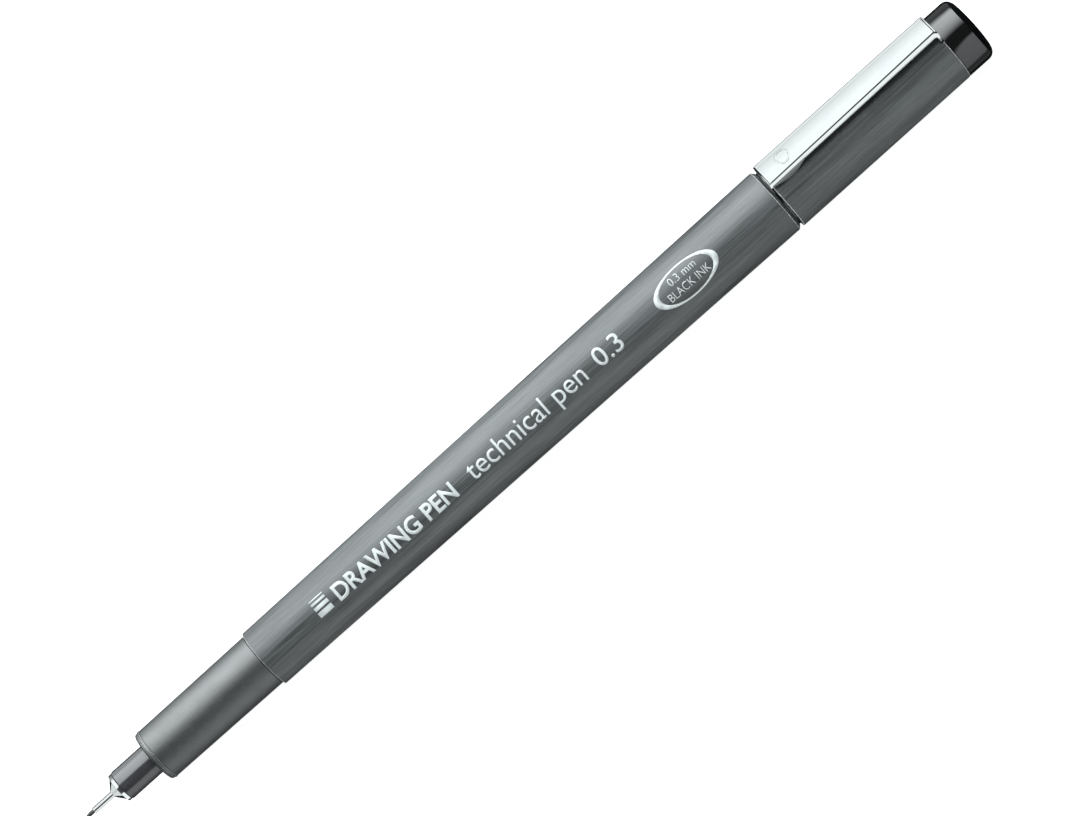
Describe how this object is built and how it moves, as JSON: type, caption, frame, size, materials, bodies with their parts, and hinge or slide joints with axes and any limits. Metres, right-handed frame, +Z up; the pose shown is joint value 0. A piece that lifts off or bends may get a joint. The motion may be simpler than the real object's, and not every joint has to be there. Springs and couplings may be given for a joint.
{
  "type": "technical pen",
  "caption": "Fibre-tip drawing pen with a steel-clad point, tapered barrel and a clip cap posted on its back end.",
  "frame": {"origin": "on the table, below the middle of the pen's length, with the pen lying level and its clip up", "axes": "+X along the pen from the nib to the posted cap's end, +Z up through the clip"},
  "size_m": [0.1528, 0.0096, 0.0119],
  "materials": {
    "nib_black": "matt, ink-wet bonded fibre",
    "steel": "polished stainless tube",
    "chrome": "bright chrome plate",
    "holder_grey": "glossy moulded plastic",
    "ink_fibre": "bonded polyester fibre soaked in ink",
    "matt_grey": "fine spark-eroded texture",
    "brushed_grey": "metallic grey with a grain brushed along the pen",
    "clear_film": "thin clear film",
    "natural_plastic": "unpigmented polyethylene",
    "gloss_black": "glossy moulded plastic"
  },
  "bodies": {
    "barrel": {"fibre_nib": "nib_black", "nib_tube": "steel", "nib_cone": "chrome", "nib_holder": "holder_grey", "feed_wick": "ink_fibre", "grip_section": "matt_grey", "barrel": "brushed_grey", "reservoir_core": "ink_fibre", "reservoir_wrap": "clear_film", "breather_tube": "natural_plastic", "barrel_end_plug": "gloss_black"},
    "cap_seal": {"cap_inner_seal": "natural_plastic"},
    "cap": {"cap_shell": "brushed_grey", "cap_end_plug": "gloss_black", "clip_root": "chrome"},
    "clip": {"clip_arm": "chrome"}
  },
  "joints": [
    {"name": "cap_pull", "type": "slide", "parent": "barrel", "child": "cap_seal", "axis": [1, 0, 0], "range_m": [0, 0.03]},
    {"name": "cap_turn", "type": "hinge", "parent": "cap_seal", "child": "cap", "pos_m": [0.04337, 0, 0.00482], "axis": [1, 0, 0], "continuous": true},
    {"name": "clip_flex", "type": "hinge", "parent": "cap", "child": "clip", "pos_m": [0.07103, 0, 0.01102], "axis": [0, 1, 0], "range_deg": [0, 4.5], "stiffness_Nm_per_rad": 0.3}
  ]
}
